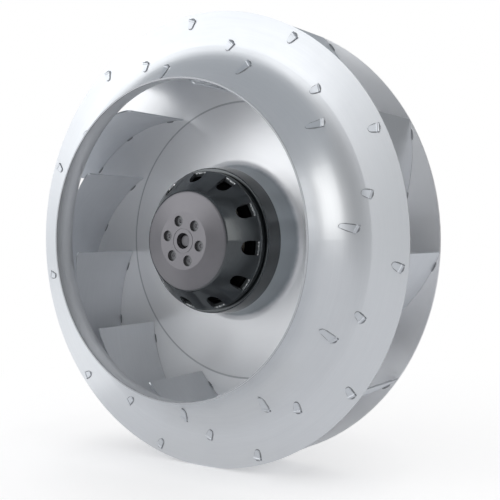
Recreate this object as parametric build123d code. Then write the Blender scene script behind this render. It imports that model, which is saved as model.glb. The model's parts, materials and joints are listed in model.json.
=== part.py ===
from build123d import *

import os
from math import acos, atan2, cos, degrees, hypot, radians, sin, sqrt, tan

# Plug fan: a backward-curved centrifugal impeller on an external-rotor motor.
# Units are millimetres. The fan turns about the Y axis and draws air in from -Y.
# The origin is the centre of the motor flange's mounting face, and +Z is up.
# A place along the axis is a distance "ahead", measured from that face towards the inlet.
# Angles round the axis run clockwise from the top, as seen from the inlet.

# Impeller
blade_count = 11
shroud_radius = 225.0
shroud_sheet = 1.5
shroud_slope = 7.0
throat_radius = 42.0
neck_radius = 153.0
neck_lip = 3.8
outlet_width = 64.5
back_plate_setback = 0.5
back_plate_sheet = 2.0
back_plate_ahead = 44.0

# Dish and collar of the back plate
crease_radius = 146.0
crease_bend = 4.0
foot_bend = 8.5
collar_taper = 5.5
collar_front = 80.4
collar_foot = 51.0

# Blades: one sheet arc, seen along the axis
blade_sheet = 1.5
blade_tip_setback = 1.0
blade_inner_radius = 152.5
blade_wrap = 41.5
blade_arc_radius = 160.0
first_blade_angle = -5.0
blade_leave_angle = 31.0
blade_corner_bend = 3.5
# The corner's bend takes at most this share of the straight edge beside it.
blade_corner_share = 0.9
blade_foot_gap = 0.3

# Tabs: each passes through a slot and is folded flat towards the axis.
# An inset runs inwards from the blade's outer end, or outwards from its leading edge.
tab_width = 7.3
tab_sheet = 1.2
tab_reach = 8.8
tab_tip_width = 4.6
throat_tab_reach = 12.8
throat_tab_tip_width = 3.6
throat_tab_tip_shift = 2.4
# The tip's corners are rounded by this share of its width.
tab_tip_roundness = 0.46
fold_bend = 1.6
fold_lift = 0.3
fold_swell = 0.1
tab_insets = (5.0, 29.0)
throat_tab_inset = 44.7
back_lead_tab_inset = 10.5
slot_clearance = 0.15
slot_end_clearance = 0.7

# Cutters stand proud of the face they enter by this much.
overcut = 1.0

# Rotor housing
rotor_face_ahead = 139.2
rotor_flat_radius = 28.1
rotor_face_radius = 48.8
rotor_face_drop = 5.3
rotor_face_wall = 6.5
rotor_edge_bend = 6.0
cone_base_radius = 69.0
cone_base_ahead = 107.8
cone_wall = 3.5
band_radius = 69.4
band_bevel = 0.6
band_width = 5.8
groove_depth = 1.0
groove_width = 2.5
drum_radius = 73.0
drum_edge_bend = 1.2
rotor_rear_ahead = 20.0
cone_slot_count = 11
cone_slot_width = 14.0
cone_slot_length = 14.2
cone_slot_margin = 0.3
first_cone_slot_angle = -1.5
face_hole_count = 6
face_hole_circle = 40.0
face_hole_radius = 5.3
face_hole_depth = 3.0
face_hole_core_radius = 2.0
face_hole_core_depth = 2.5
first_face_hole_angle = -15.3
face_bore_radius = 7.8
shaft_recess = 4.2
boss_ring_radius = 12.0
boss_ring_width = 0.5
boss_ring_depth = 0.4
boss_radius = 15.0
boss_length = 14.0
nose_radius = 9.5

# Shaft and bearings
shaft_radius = 7.5
shaft_end_ahead = 9.0
shaft_chamfer = 0.8
shaft_front_chamfer = 2.4
bearing_radius = 17.5
bearing_width = 11.0
front_bearing_ahead = 103.0
rear_bearing_ahead = 14.5
ball_count = 8
ball_radius = 2.975
ball_circle_radius = 12.5
ball_clearance = 0.04
race_shoulder = 2.3
pocket_clearance = 0.12
cage_sheet = 1.4
cage_width = 7.6
shield_sheet = 0.8
shield_clearance = 0.5
shield_seat = 0.6
washer_height = 1.6
washer_sheet = 0.6
washer_lift = 0.9
washer_clearance = 0.15
circlip_sheet = 1.0
circlip_depth = 0.6
circlip_reach = 2.0
circlip_gap = 4.0

# Motor flange
flange_radius = 74.0
flange_sheet = 10.0
flange_ahead = 4.0
bolt_circle = 115.0
bolt_count = 4
bolt_core_radius = 3.4
bolt_depth = 11.0
bolt_boss_radius = 9.0
tube_radius = 22.0
tube_bore_radius = 15.5
hub_radius = 30.0
hub_height = 10.0
hub_pad_radius = 27.0
hub_pad_height = 2.0
rim_wall_outer = 60.0
rim_wall_inner = 56.0
rim_wall_height = 12.0
rib_count = 8
rib_width = 4.0
rib_height = 2.5
rib_end_gap = 4.0
cap_radius = 19.0
cap_sheet = 2.0
cap_seat_gap = 0.3

# Stator and rotor iron
core_rear_ahead = 40.0
core_length = 60.0
air_gap = 0.4
stator_radius = 48.6
stator_slots = 24
slot_mouth = 2.4
slot_lip = 2.0
slot_outer_radius = 45.0
slot_outer_width = 8.0
slot_inner_radius = 29.5
slot_inner_width = 4.4
liner = 0.3
winding_split_radius = 37.5
winding_gap = 0.3
end_turn_length = 12.0
end_turn_bend = 2.5
insulator_sheet = 1.8
insulator_wall_inner = 25.5
insulator_wall_outer = 27.5
insulator_wall_length = 11.0
rotor_iron_radius = 66.5
rotor_iron_stop = 2.0
cage_bar_count = 22
cage_bar_inner_radius = 51.0
cage_bar_outer_radius = 59.0
cage_bar_inner_width = 4.0
cage_bar_outer_width = 6.5
cage_ring_inner_radius = 50.0
cage_ring_outer_radius = 60.5
cage_ring_length = 6.0
cutout_length = 14.0
cutout_width = 6.0
cutout_height = 3.6

# Cable inlet in the flange, at the bottom
gland_ahead = 9.0
gland_boss_radius = 8.4
gland_boss_inner = 44.0
gland_boss_outer = 79.0
wire_bore_radius = 3.8
wire_hole_radius = 4.2
wire_hole_circle = 48.0
gland_thread_radius = 5.9
gland_thread_length = 10.0
gland_thread_clearance = 0.05
gland_hex = 15.0
gland_hex_clearance = 0.5
gland_body_hex_length = 5.0
gland_collar_length = 6.5
gland_bore_radius = 4.6
gland_nut_length = 12.0
gland_nut_bend = 2.0
gland_mouth_radius = 4.0
gland_seal_bore = 3.5
gland_seal_length = 6.0

# The half-section plane: its first axis is the radius, its second the distance ahead.
SECTION = Plane(origin=(0, 0, 0), x_dir=(1, 0, 0), z_dir=(0, 0, -1))
# The view from the inlet: its first axis is +X, its second +Z. Extrusions run ahead.
FRONT = Plane(origin=(0, 0, 0), x_dir=(1, 0, 0), z_dir=(0, -1, 0))
# The plane of the cable inlet. Extrusions run straight down, away from the fan's axis.
GLAND = Plane(origin=(0, -gland_ahead, 0), x_dir=(1, 0, 0), z_dir=(0, 0, -1))

# Places that follow from the sizes above
plate_face_ahead = back_plate_ahead + back_plate_sheet
shroud_rim_ahead = plate_face_ahead + outlet_width + shroud_sheet
back_plate_radius = shroud_radius - back_plate_setback
blade_outer_radius = shroud_radius - blade_tip_setback
tab_radii = [blade_outer_radius - inset for inset in tab_insets]
throat_tab_radius = blade_outer_radius - throat_tab_inset
back_tab_radii = [*tab_radii, blade_inner_radius + back_lead_tab_inset]
slope = radians(shroud_slope)
taper = radians(collar_taper)
throat_centre_radius = neck_radius + shroud_sheet + throat_radius
bend_run = shroud_radius - throat_centre_radius + throat_radius * sin(slope)
throat_centre_ahead = shroud_rim_ahead + bend_run * tan(slope) + throat_radius * cos(slope)
rotor_edge_ahead = rotor_face_ahead - rotor_face_drop
band_rear_ahead = cone_base_ahead - band_width
drum_ahead = band_rear_ahead - groove_width
core_front_ahead = core_rear_ahead + core_length
rotor_iron_bore = stator_radius + air_gap
tube_front_ahead = front_bearing_ahead + bearing_width
shaft_front_ahead = rotor_face_ahead - shaft_recess
rear_pocket_ahead = rear_bearing_ahead + bearing_width + washer_height
flange_front_ahead = flange_ahead + flange_sheet


def polar(radius, angle):
    """Point seen from the inlet, at a radius and an angle clockwise from the top."""
    return (radius * sin(radians(angle)), radius * cos(radians(angle)))


def turned(face):
    """Solid swept once round the fan's axis by a face in radius and distance ahead."""
    return revolve(SECTION * face, Axis.Y)


def outline(*points):
    """Face inside straight lines between the points."""
    return make_face(Polyline(*points, close=True))


def ring(inner, outer, rear, front):
    """Plain ring between two radii and two distances ahead."""
    return turned(outline((inner, rear), (outer, rear), (outer, front), (inner, front)))


def forward(sketch, rear, front):
    """Prism of a sketch seen from the inlet, between two distances ahead."""
    return extrude(FRONT.offset(rear) * sketch, front - rear)


def down(sketch, start, end):
    """Prism along the gland's axis between two distances below the fan's axis."""
    return extrude(GLAND.offset(start) * sketch, end - start)


def clockwise(shape, angle):
    """Copy of a shape turned about the fan's axis."""
    return shape.rotate(Axis.Y, angle)


def all_round(shape, count):
    """Equally spaced copies round the fan's axis, the first where the shape is."""
    return [clockwise(shape, index * 360 / count) for index in range(count)]


def shroud_line(depth):
    """Points of a surface parallel to the shroud's outer face, a depth under it."""
    radius = throat_radius + depth
    middle = (radians(90) + slope) / 2
    rim = (shroud_radius - depth * sin(slope), shroud_rim_ahead - depth * cos(slope))
    bend = throat_point(radius, slope)
    arch = throat_point(radius, middle)
    neck = throat_point(radius, radians(90))
    lip = (neck[0], neck[1] + neck_lip)
    return rim, bend, arch, neck, lip


def throat_point(radius, angle):
    """Point on a circle about the throat's centre, at an angle from straight back."""
    return (throat_centre_radius - radius * sin(angle), throat_centre_ahead - radius * cos(angle))


def shroud_layer(outer_depth, inner_depth):
    """Ring between two surfaces that are parallel to the shroud's outer face."""
    rim, bend, arch, neck, lip = shroud_line(outer_depth)
    rim2, bend2, arch2, neck2, lip2 = shroud_line(inner_depth)
    outer = Line(rim, bend) + ThreePointArc(bend, arch, neck) + Line(neck, lip)
    inner = Line(lip2, neck2) + ThreePointArc(neck2, arch2, bend2) + Line(bend2, rim2)
    return turned(make_face(outer + Line(lip, lip2) + inner + Line(rim2, rim)))


def blade_centre():
    """Centre of the blade's arc, for the blade whose outer end is at the top."""
    outer = polar(blade_outer_radius, 0)
    inner = polar(blade_inner_radius, blade_wrap)
    run = (inner[0] - outer[0], inner[1] - outer[1])
    chord = hypot(*run)
    reach = sqrt(blade_arc_radius**2 - chord**2 / 4) / chord
    return (outer[0] + run[0] / 2 + run[1] * reach, outer[1] + run[1] / 2 - run[0] * reach)


def blade_angle(radius):
    """Angle at which the blade's arc crosses a radius, by the law of cosines."""
    centre = blade_centre()
    distance = hypot(*centre)
    share = (radius**2 + distance**2 - blade_arc_radius**2) / (2 * radius * distance)
    return degrees(atan2(*centre) + acos(share))


def blade_wall():
    """Full-height wall on the blade's arc, before its edges are cut."""
    inner = polar(blade_inner_radius, blade_wrap)
    middle_radius = (blade_outer_radius + blade_inner_radius) / 2
    middle = polar(middle_radius, blade_angle(middle_radius))
    arc = ThreePointArc(polar(blade_outer_radius, 0), middle, inner)
    front = throat_centre_ahead + neck_lip
    return forward(trace(arc, blade_sheet), 0, front)


def blade_field():
    """Ring that holds the blades, between the back plate, the shroud and the leading edge."""
    leave = radians(blade_leave_angle)
    foot = plate_face_ahead + blade_foot_gap
    radius = throat_radius + shroud_sheet
    rim, bend = shroud_line(shroud_sheet)[:2]
    arch = throat_point(radius, (slope + leave) / 2)
    leaving = throat_point(radius, leave)
    lead = blade_inner_radius - blade_sheet
    corner = (lead, leaving[1] + (leaving[0] - lead) * tan(leave))
    edge = Line(rim, bend) + ThreePointArc(bend, arch, leaving) + Line(leaving, corner)
    rest = Polyline(corner, (lead, foot), (rim[0], foot), rim)
    face = make_face(edge + rest)
    tip = face.vertices().sort_by_distance((*corner, 0))[0]
    straight = (leaving[0] - lead) / cos(leave)
    most = blade_corner_share * straight * tan((radians(90) - leave) / 2)
    return turned(fillet(tip, min(blade_corner_bend, most)))


def tab_place(radius):
    """Place of a tab on the blade's arc, with its first axis towards the arc's centre."""
    point = polar(radius, blade_angle(radius))
    centre = blade_centre()
    facing = degrees(atan2(centre[1] - point[1], centre[0] - point[0]))
    return Pos(*point) * Rot(0, 0, facing)


def tab_window(radius, thickness, width):
    """Plan of a rectangle centred where a tab stands, across the sheet by along it."""
    return tab_place(radius) * Rectangle(thickness, width)


def tab_tongue(radius, reach, tip_width, tip_shift):
    """Plan of the folded part of a tab, which narrows to a round tip."""
    near = tip_shift - tip_width / 2
    far = tip_shift + tip_width / 2
    tongue = outline((0, -tab_width / 2), (reach, near), (reach, far), (0, tab_width / 2))
    tip = tongue.vertices().group_by(Axis.X)[-1]
    return tab_place(radius) * fillet(tip, tab_tip_roundness * tip_width)


def shroud_ahead(radius):
    """Distance ahead of the shroud's outer face at a radius."""
    inwards = throat_centre_radius - radius
    if inwards < throat_radius * sin(slope):
        return shroud_rim_ahead + (shroud_radius - radius) * tan(slope)
    return throat_centre_ahead - sqrt(throat_radius**2 - inwards**2)


def fold_back(radius, face_ahead, lift):
    """Round back of a fold, which swells past the sheet, on a face given by its ahead at a radius."""
    inwards = fold_bend - fold_swell - blade_sheet / 2
    ends = []
    for side in (-tab_width / 2, tab_width / 2):
        point = (tab_place(radius) * Pos(inwards, side)).position
        ends.append(Vector(point.X, -face_ahead(hypot(point.X, point.Y)) - lift, point.Y))
    run = ends[1] - ends[0]
    start = Plane(origin=ends[0] - run / 2, z_dir=run)
    rod = extrude(start * Circle(fold_bend), 2 * run.length)
    return rod & forward(tab_window(radius, 6 * fold_bend, tab_width), 0, throat_centre_ahead)


def shroud_tabs():
    """Radius, reach, tip width and tip shift of each tab that is folded over the shroud."""
    tabs = [(radius, tab_reach, tab_tip_width, 0) for radius in tab_radii]
    return tabs + [(throat_tab_radius, throat_tab_reach, throat_tab_tip_width, throat_tab_tip_shift)]


def blade():
    """Blade whose outer end is at the top, with its folded tabs."""
    wall = blade_wall()
    solid = wall & blade_field()
    stand = 4 * blade_sheet
    through = shroud_layer(-fold_lift, shroud_sheet + stand)
    lying = shroud_layer(-tab_sheet, 0)
    outside = shroud_layer(-fold_lift - 2 * fold_bend, 0)
    tall = throat_centre_ahead
    for radius, *shape in shroud_tabs():
        leg = forward(tab_window(radius, stand, tab_width), plate_face_ahead, tall)
        solid += wall & leg & through
        solid += forward(tab_tongue(radius, *shape), plate_face_ahead, tall) & lying
        solid += fold_back(radius, shroud_ahead, fold_lift) & outside
    behind = back_plate_ahead - fold_lift
    rear_space = ring(0, shroud_radius, 0, back_plate_ahead)
    for radius in back_tab_radii:
        leg = forward(tab_window(radius, stand, tab_width), behind, plate_face_ahead + stand)
        solid += wall & leg
        tongue = tab_tongue(radius, tab_reach, tab_tip_width, 0)
        solid += forward(tongue, back_plate_ahead - tab_sheet, back_plate_ahead)
        solid += fold_back(radius, lambda any_radius: back_plate_ahead, -fold_lift) & rear_space
    return clockwise(solid, first_blade_angle)


def slots(radii, rear, front):
    """Slots for one blade's tabs."""
    thickness = blade_sheet + 2 * slot_clearance
    width = tab_width + 2 * slot_end_clearance
    plans = [tab_window(radius, thickness, width) for radius in radii]
    cuts = [clockwise(forward(plan, rear, front), first_blade_angle) for plan in plans]
    return [copy for cut in cuts for copy in all_round(cut, blade_count)]


def inlet_shroud():
    """Spun ring with a sloping annulus, a curved throat and a short neck."""
    radii = [*tab_radii, throat_tab_radius]
    return shroud_layer(0, shroud_sheet) - slots(radii, plate_face_ahead, throat_centre_ahead)


def drum_line(ahead):
    """Radius of the slow cone that the rotor's drum and the collar's outside share."""
    return drum_radius + (drum_ahead - ahead) * tan(taper)


def seat_line(ahead):
    """Radius of the seat inside the collar, one thickness under the drum's line."""
    return drum_line(ahead) - back_plate_sheet / cos(taper)


def back_plate():
    """Flat sheet with a crease, a shallow dish and a drawn collar, made as one thickness."""
    half = back_plate_sheet / 2
    side = half / cos(taper)
    middle = back_plate_ahead + half
    beyond = collar_front + half
    path = FilletPolyline(
        (back_plate_radius, middle), (crease_radius, middle),
        (seat_line(collar_foot) + side, collar_foot), (seat_line(beyond) + side, beyond),
        radius=(crease_bend, foot_bend + half),
    )
    plate = turned(trace(path, back_plate_sheet))
    trim = ring(0, back_plate_radius + back_plate_sheet, collar_front, rotor_face_ahead)
    return plate - trim - slots(back_tab_radii, 0, plate_face_ahead + half)


def rotor_outside():
    """Half section of the rotor's outer form, closed along the axis."""
    groove_radius = band_radius - groove_depth
    rear_radius = seat_line(collar_foot)
    face = outline(
        (0, rotor_face_ahead), (rotor_flat_radius, rotor_face_ahead),
        (rotor_face_radius, rotor_edge_ahead), (cone_base_radius, cone_base_ahead),
        (band_radius, cone_base_ahead - band_bevel), (band_radius, band_rear_ahead),
        (groove_radius, band_rear_ahead), (groove_radius, drum_ahead), (drum_radius, drum_ahead),
        (drum_line(collar_front), collar_front), (seat_line(collar_front), collar_front),
        (rear_radius, collar_foot), (rear_radius, rotor_rear_ahead), (0, rotor_rear_ahead),
    )
    for corner, bend in (((rotor_face_radius, rotor_edge_ahead, 0), rotor_edge_bend),
                         ((drum_radius, drum_ahead, 0), drum_edge_bend)):
        face = fillet(face.vertices().sort_by_distance(corner)[0], bend)
    return turned(face)


def rotor_inside():
    """Space inside the rotor: the iron's bore, a cone under the wall, and the boss left standing."""
    run = (cone_base_radius - rotor_face_radius, rotor_edge_ahead - cone_base_ahead)
    shift = cone_wall * hypot(*run) / run[1]
    lean = run[0] / run[1]
    stop_radius = rotor_iron_radius - rotor_iron_stop
    turn = cone_base_ahead + (cone_base_radius - shift - stop_radius) / lean
    roof = rotor_edge_ahead - rotor_face_wall
    top_radius = cone_base_radius - shift - (roof - cone_base_ahead) * lean
    ceiling = rotor_face_ahead - rotor_face_wall
    space = turned(outline(
        (0, rotor_rear_ahead), (rotor_iron_radius, rotor_rear_ahead),
        (rotor_iron_radius, core_front_ahead), (stop_radius, core_front_ahead),
        (stop_radius, turn), (top_radius, roof), (rotor_flat_radius, ceiling), (0, ceiling),
    ))
    boss = ring(0, boss_radius, ceiling - boss_length, ceiling)
    nose = ring(0, nose_radius, tube_front_ahead, ceiling)
    return space - boss - nose


def cone_slot():
    """U-shaped cutter through the cone wall at the top, open towards the base."""
    rear = cone_base_ahead + cone_slot_margin
    half = cone_slot_width / 2
    centre = rear + cone_slot_length - half
    shape = Pos(0, (rear + centre) / 2) * Rectangle(cone_slot_width, centre - rear)
    shape += Pos(0, centre) * Circle(half)
    side = Plane(origin=(0, 0, rotor_face_radius), x_dir=(-1, 0, 0), z_dir=(0, 0, 1))
    return extrude(side * shape, drum_radius)


def face_hole():
    """Stepped blind hole in the rotor face, at the top of its circle."""
    floor = rotor_face_ahead - face_hole_depth
    place = Pos(0, face_hole_circle / 2)
    wide = forward(place * Circle(face_hole_radius), floor, rotor_face_ahead + overcut)
    core = forward(place * Circle(face_hole_core_radius), floor - face_hole_core_depth, floor)
    return wide + core


def rotor_housing():
    """Cast can with a stepped face, a slotted cone, a groove and the collar's seat."""
    bore = ring(0, shaft_radius, tube_front_ahead, shaft_front_ahead)
    mouth = ring(0, face_bore_radius, shaft_front_ahead, rotor_face_ahead)
    half = boss_ring_width / 2
    mark = ring(
        boss_ring_radius - half, boss_ring_radius + half,
        rotor_face_ahead - boss_ring_depth, rotor_face_ahead,
    )
    can = rotor_outside() - rotor_inside() - bore - mouth - mark
    can -= all_round(clockwise(cone_slot(), first_cone_slot_angle), cone_slot_count)
    return can - all_round(clockwise(face_hole(), first_face_hole_angle), face_hole_count)


def shaft():
    """Steel shaft with chamfered ends and the circlip's groove."""
    bar = ring(0, shaft_radius, shaft_end_ahead, shaft_front_ahead)
    front, rear = bar.edges().filter_by(GeomType.CIRCLE).sort_by(Axis.Y)
    bar = chamfer(front, shaft_front_chamfer)
    bar = chamfer(bar.edges().filter_by(GeomType.CIRCLE).sort_by(Axis.Y)[-1], shaft_chamfer)
    neck = shaft_radius - circlip_depth
    groove = ring(neck, shaft_radius + overcut, rear_bearing_ahead - circlip_sheet, rear_bearing_ahead)
    return bar - groove


def rotor_core():
    """Ring of laminations with a closed slot for each cage bar."""
    iron = ring(rotor_iron_bore, rotor_iron_radius, core_rear_ahead, core_front_ahead)
    return iron - all_round(cage_bar(), cage_bar_count)


def cage_bar():
    """Wedge-shaped bar through the rotor laminations."""
    inner = cage_bar_inner_width / 2
    outer = cage_bar_outer_width / 2
    plan = outline(
        (-inner, cage_bar_inner_radius), (inner, cage_bar_inner_radius),
        (outer, cage_bar_outer_radius), (-outer, cage_bar_outer_radius),
    )
    return forward(plan, core_rear_ahead, core_front_ahead)


def rotor_cage():
    """Cast bars joined by a ring at each end of the laminations."""
    inner = cage_ring_inner_radius
    outer = cage_ring_outer_radius
    cage = ring(inner, outer, core_rear_ahead - cage_ring_length, core_rear_ahead)
    cage += ring(inner, outer, core_front_ahead, core_front_ahead + cage_ring_length)
    return cage + all_round(cage_bar(), cage_bar_count)


def slot_half_width(radius):
    """Half width of a stator slot at a radius, between its bottom and its shoulder."""
    share = (radius - slot_inner_radius) / (slot_outer_radius - slot_inner_radius)
    return (slot_inner_width + share * (slot_outer_width - slot_inner_width)) / 2


def toothed_plan():
    """Plan of the stator laminations, with slots open to the air gap."""
    mouth = slot_mouth / 2
    shoulder = slot_outer_radius + slot_lip / 2
    top = stator_radius + slot_lip
    slot = outline(
        (-slot_inner_width / 2, slot_inner_radius), (-slot_outer_width / 2, slot_outer_radius),
        (-mouth, shoulder), (-mouth, top), (mouth, top), (mouth, shoulder),
        (slot_outer_width / 2, slot_outer_radius), (slot_inner_width / 2, slot_inner_radius),
    )
    plan = Circle(stator_radius) - Circle(tube_radius)
    return plan - [Rot(0, 0, index * 360 / stator_slots) * slot for index in range(stator_slots)]


def stator_core():
    """Stack of toothed laminations on the bearing tube."""
    return forward(toothed_plan(), core_rear_ahead, core_front_ahead)


def insulator(start, end, wall_end):
    """Toothed end plate from start to end, with a wall that keeps the coils off the tube."""
    plan = toothed_plan() - Circle(insulator_wall_inner)
    plate = forward(plan, min(start, end), max(start, end))
    wall = ring(insulator_wall_inner, insulator_wall_outer, min(end, wall_end), max(end, wall_end))
    return plate + wall


def front_insulator():
    """End plate on the front of the stator core."""
    end = core_front_ahead + insulator_sheet
    return insulator(core_front_ahead, end, end + insulator_wall_length)


def rear_insulator():
    """End plate on the rear of the stator core."""
    end = core_rear_ahead - insulator_sheet
    return insulator(core_rear_ahead, end, end - insulator_wall_length)


def winding(inner, outer):
    """Coil sides in every slot between two radii, joined by an end turn at each end."""
    low = slot_half_width(inner) - liner
    high = slot_half_width(outer) - liner
    side = outline((-low, inner), (low, inner), (high, outer), (-high, outer))
    rear = core_rear_ahead - insulator_sheet - liner
    front = core_front_ahead + insulator_sheet + liner
    body = end_turn(inner, outer, rear, rear - end_turn_length)
    body += end_turn(inner, outer, front, front + end_turn_length)
    return body + all_round(forward(side, rear, front), stator_slots)


def end_turn(inner, outer, near, far):
    """Ring of wound wire beyond the core, with rounded corners away from it."""
    face = outline((inner, near), (outer, near), (outer, far), (inner, far))
    corners = [vertex for vertex in face.vertices() if abs(vertex.Y - far) < 1e-6]
    return turned(fillet(corners, end_turn_bend))


def main_winding():
    """Winding in the outer half of the slots."""
    return winding(winding_split_radius, slot_outer_radius - liner)


def auxiliary_winding():
    """Winding at the bottom of the slots."""
    return winding(slot_inner_radius + liner, winding_split_radius - winding_gap)


def thermal_cutout():
    """Small overheating switch lying against the rear end turns."""
    far = core_rear_ahead - insulator_sheet - liner - end_turn_length
    middle = (winding_split_radius + slot_outer_radius) / 2
    block = Pos(middle, 0) * RectangleRounded(cutout_width, cutout_length, cutout_width / 3)
    return forward(block, far - cutout_height, far)


def outer_ring(rear):
    """Bearing ring in the tube, with its ball groove and a seat for each shield."""
    shoulder = ball_circle_radius + race_shoulder
    seat = shoulder + shield_seat
    front = rear + bearing_width
    low = rear + shield_sheet
    high = front - shield_sheet
    body = turned(outline(
        (seat, rear), (bearing_radius, rear), (bearing_radius, front), (seat, front),
        (seat, high), (shoulder, high), (shoulder, low), (seat, low),
    ))
    return body - ball_groove(rear)


def inner_ring(rear):
    """Bearing ring on the shaft, with its ball groove."""
    shoulder = ball_circle_radius - race_shoulder
    return ring(shaft_radius, shoulder, rear, rear + bearing_width) - ball_groove(rear)


def ball_groove(rear):
    """Ring-shaped cutter that leaves the balls a running clearance."""
    centre = Pos(ball_circle_radius, rear + bearing_width / 2)
    return turned(centre * Circle(ball_radius + ball_clearance))


def ball_set(rear):
    """Balls of one bearing."""
    x, z = polar(ball_circle_radius, 0)
    ball = Pos(x, -(rear + bearing_width / 2), z) * Sphere(ball_radius)
    return all_round(ball, ball_count)


def ball_cage(rear):
    """Ribbon that keeps the balls apart."""
    middle = rear + bearing_width / 2
    half = cage_sheet / 2
    ribbon = ring(
        ball_circle_radius - half, ball_circle_radius + half,
        middle - cage_width / 2, middle + cage_width / 2,
    )
    pocket = Pos(0, -middle, ball_circle_radius) * Cylinder(ball_radius + pocket_clearance, 2 * cage_sheet)
    return ribbon - all_round(pocket, ball_count)


def shields(rear):
    """Pressed cover on each side of a bearing, clear of the inner ring."""
    inner = ball_circle_radius - race_shoulder + shield_clearance
    outer = ball_circle_radius + race_shoulder + shield_seat
    front = rear + bearing_width
    return [ring(inner, outer, rear, rear + shield_sheet), ring(inner, outer, front - shield_sheet, front)]


def preload_washer():
    """Shallow coned spring washer between the tube's shoulder and the rear bearing."""
    rear = rear_bearing_ahead + bearing_width
    inner = ball_circle_radius + race_shoulder + shield_seat
    outer = bearing_radius - washer_clearance
    return turned(outline(
        (outer, rear), (outer, rear + washer_sheet),
        (inner, rear + washer_sheet + washer_lift), (inner, rear + washer_lift),
    ))


def shaft_circlip():
    """Open ring in the shaft's groove, behind the rear bearing."""
    inner = shaft_radius - circlip_depth
    plan = Circle(shaft_radius + circlip_reach) - Circle(inner)
    plan -= Pos(0, shaft_radius) * Rectangle(circlip_gap, 2 * shaft_radius)
    return forward(plan, rear_bearing_ahead - circlip_sheet, rear_bearing_ahead)


def bearing_cap():
    """Pressed cover that closes the rear bearing's pocket."""
    rear = flange_ahead - hub_pad_height + cap_seat_gap
    return ring(0, cap_radius, rear, rear + cap_sheet)


def flange_body():
    """Half section of the flange turned into a disc with its tube, hub and rim wall."""
    front = flange_front_ahead
    hub_rear = flange_ahead - hub_pad_height
    return turned(outline(
        (0, hub_rear), (hub_pad_radius, hub_rear), (hub_pad_radius, flange_ahead),
        (flange_radius, flange_ahead), (flange_radius, front), (rim_wall_outer, front),
        (rim_wall_outer, front + rim_wall_height), (rim_wall_inner, front + rim_wall_height),
        (rim_wall_inner, front), (hub_radius, front), (tube_radius, front + hub_height),
        (tube_radius, tube_front_ahead), (0, tube_front_ahead),
    ))


def flange_bore():
    """Space down the middle of the flange: cap seat, two bearing pockets and the tube's bore."""
    cap_front = flange_ahead - hub_pad_height + cap_seat_gap + cap_sheet
    bore = ring(0, cap_radius, 0, cap_front)
    bore += ring(0, bearing_radius, 0, rear_pocket_ahead)
    bore += ring(0, tube_bore_radius, 0, tube_front_ahead)
    return bore + ring(0, bearing_radius, front_bearing_ahead, tube_front_ahead)


def rib():
    """Low rib on the flange's rear face, from inside the hub pad to near the rim."""
    inner = hub_pad_radius - rib_width
    outer = flange_radius - rib_end_gap
    plan = Pos(0, (inner + outer) / 2) * Rectangle(rib_width, outer - inner)
    return forward(plan, flange_ahead - rib_height, flange_ahead)


def motor_flange():
    """Cast flange with bearing tube, bolt bosses, ribs and the boss for the cable gland."""
    body = flange_body()
    half_turn = 180 / bolt_count
    boss = forward(Pos(0, bolt_circle / 2) * Circle(bolt_boss_radius), 0, flange_front_ahead)
    body += all_round(clockwise(boss, half_turn), bolt_count)
    body += all_round(clockwise(rib(), 180 / rib_count), rib_count)
    body += down(Circle(gland_boss_radius), gland_boss_inner, gland_boss_outer)
    body -= flange_bore()
    body -= down(Circle(wire_bore_radius), wire_hole_circle, gland_boss_outer)
    thread_inner = gland_boss_outer - gland_thread_length
    body -= down(Circle(gland_thread_radius), thread_inner, gland_boss_outer)
    hex_room = gland_hex / 2 / cos(radians(30)) + gland_hex_clearance
    nut_end = gland_boss_outer + gland_body_hex_length + gland_nut_length
    body -= down(Circle(hex_room), gland_boss_outer, nut_end)
    wire_hole = Pos(0, -wire_hole_circle) * Circle(wire_hole_radius)
    body -= forward(wire_hole, gland_ahead, flange_front_ahead + hub_height)
    tapped = forward(Pos(0, bolt_circle / 2) * Circle(bolt_core_radius), 0, bolt_depth)
    return body - all_round(clockwise(tapped, half_turn), bolt_count)


def gland_body():
    """Threaded tube with a hexagon, screwed into the flange's boss."""
    stub_radius = gland_thread_radius - gland_thread_clearance
    hex_end = gland_boss_outer + gland_body_hex_length
    body = down(Circle(stub_radius), gland_boss_outer - gland_thread_length, gland_boss_outer)
    body += down(RegularPolygon(gland_hex / 2, 6, major_radius=False), gland_boss_outer, hex_end)
    body += down(Circle(stub_radius), hex_end, hex_end + gland_collar_length)
    body -= down(Circle(gland_seal_bore), gland_boss_outer - gland_thread_length, hex_end)
    return body - down(Circle(gland_bore_radius), hex_end, hex_end + gland_collar_length)


def gland_seal():
    """Rubber ring inside the gland's collar."""
    start = gland_boss_outer + gland_body_hex_length
    return down(Circle(gland_bore_radius) - Circle(gland_seal_bore), start, start + gland_seal_length)


def gland_nut():
    """Domed hexagon nut over the gland's collar."""
    start = gland_boss_outer + gland_body_hex_length
    end = start + gland_nut_length
    nut = down(RegularPolygon(gland_hex / 2, 6, major_radius=False), start, end)
    dome = down(Circle(gland_hex / 2 + gland_nut_bend), start, end)
    dome = chamfer(dome.edges().sort_by(Axis.Z)[0], 2 * gland_nut_bend)
    nut &= dome
    nut -= down(Circle(gland_thread_radius), start, start + gland_collar_length)
    return nut - down(Circle(gland_mouth_radius), start, end)


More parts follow.
